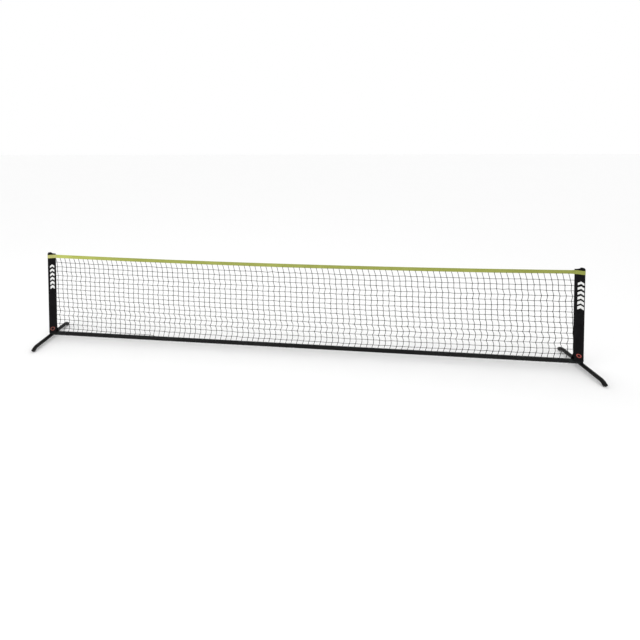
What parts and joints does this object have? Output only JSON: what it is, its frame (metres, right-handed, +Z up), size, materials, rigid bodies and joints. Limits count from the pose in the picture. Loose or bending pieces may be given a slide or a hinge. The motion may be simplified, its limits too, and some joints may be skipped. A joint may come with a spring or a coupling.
{
  "type": "pickleball portable net",
  "caption": "Portable court net: bent tube feet, sectional floor bar with snap buttons, slip-on posts, knotted net with a top tape and fabric sleeves.",
  "frame": {"origin": "on the floor, midway between the two posts and under the net", "axes": "+X along the net from the left post to the right post, +Z up; -Y is the front, the side with the snap buttons"},
  "size_m": [5.3848, 0.6092, 0.946],
  "materials": {
    "black_tube": "gloss black powder coat on steel tube",
    "bar_tube": "gloss black powder coat on steel tube",
    "socket_tube": "satin black coat, worn where the bar slides in",
    "foot_cap": "moulded black rubber",
    "post_cap": "moulded black plastic",
    "spring_steel": "spring steel strip",
    "button_steel": "zinc-plated steel",
    "sleeve_fabric": "black woven polyester",
    "tape_fabric": "lime coated tape",
    "headline": "braided cord",
    "net_twine": "black knotted twine"
  },
  "bodies": {
    "base_frame": {"left_foot_tube": "black_tube", "left_front_foot_cap": "foot_cap", "left_back_foot_cap": "foot_cap", "left_post_spigot": "black_tube", "left_spigot_collar": "black_tube", "left_bar_socket": "socket_tube", "right_foot_tube": "black_tube", "right_front_foot_cap": "foot_cap", "right_back_foot_cap": "foot_cap", "right_post_spigot": "black_tube", "right_spigot_collar": "black_tube", "right_bar_socket": "socket_tube", "left_end_bar": "bar_tube", "left_middle_bar": "bar_tube", "right_middle_bar": "bar_tube", "right_end_bar": "bar_tube", "left_socket_spring_clip": "spring_steel", "left_spring_clip": "spring_steel", "middle_spring_clip": "spring_steel", "right_spring_clip": "spring_steel", "right_socket_spring_clip": "spring_steel"},
    "net_assembly": {"left_post_tube": "black_tube", "left_post_cap": "post_cap", "left_sleeve": "sleeve_fabric", "right_post_tube": "black_tube", "right_post_cap": "post_cap", "right_sleeve": "sleeve_fabric", "top_tape": "tape_fabric", "headline_cord": "headline", "net_panel": "net_twine"},
    "left_socket_button": {"left_socket_snap_button": "button_steel"},
    "left_button": {"left_snap_button": "button_steel"},
    "middle_button": {"middle_snap_button": "button_steel"},
    "right_button": {"right_snap_button": "button_steel"},
    "right_socket_button": {"right_socket_snap_button": "button_steel"}
  },
  "joints": [
    {"name": "net_lift", "type": "slide", "parent": "base_frame", "child": "net_assembly", "axis": [0, 0, 1], "range_m": [0, 0.105]},
    {"name": "left_socket_button_press", "type": "slide", "parent": "base_frame", "child": "left_socket_button", "axis": [0, 1, 0], "range_m": [0, 0.0055], "stiffness_N_per_m": 600, "springref_m": -0.003, "deforming": ["left_socket_spring_clip"]},
    {"name": "left_button_press", "type": "slide", "parent": "base_frame", "child": "left_button", "axis": [0, 1, 0], "range_m": [0, 0.0055], "stiffness_N_per_m": 600, "springref_m": -0.003, "deforming": ["left_spring_clip"]},
    {"name": "middle_button_press", "type": "slide", "parent": "base_frame", "child": "middle_button", "axis": [0, 1, 0], "range_m": [0, 0.0055], "stiffness_N_per_m": 600, "springref_m": -0.003, "deforming": ["middle_spring_clip"]},
    {"name": "right_button_press", "type": "slide", "parent": "base_frame", "child": "right_button", "axis": [0, 1, 0], "range_m": [0, 0.0055], "stiffness_N_per_m": 600, "springref_m": -0.003, "deforming": ["right_spring_clip"]},
    {"name": "right_socket_button_press", "type": "slide", "parent": "base_frame", "child": "right_socket_button", "axis": [0, 1, 0], "range_m": [0, 0.0055], "stiffness_N_per_m": 600, "springref_m": -0.003, "deforming": ["right_socket_spring_clip"]}
  ]
}
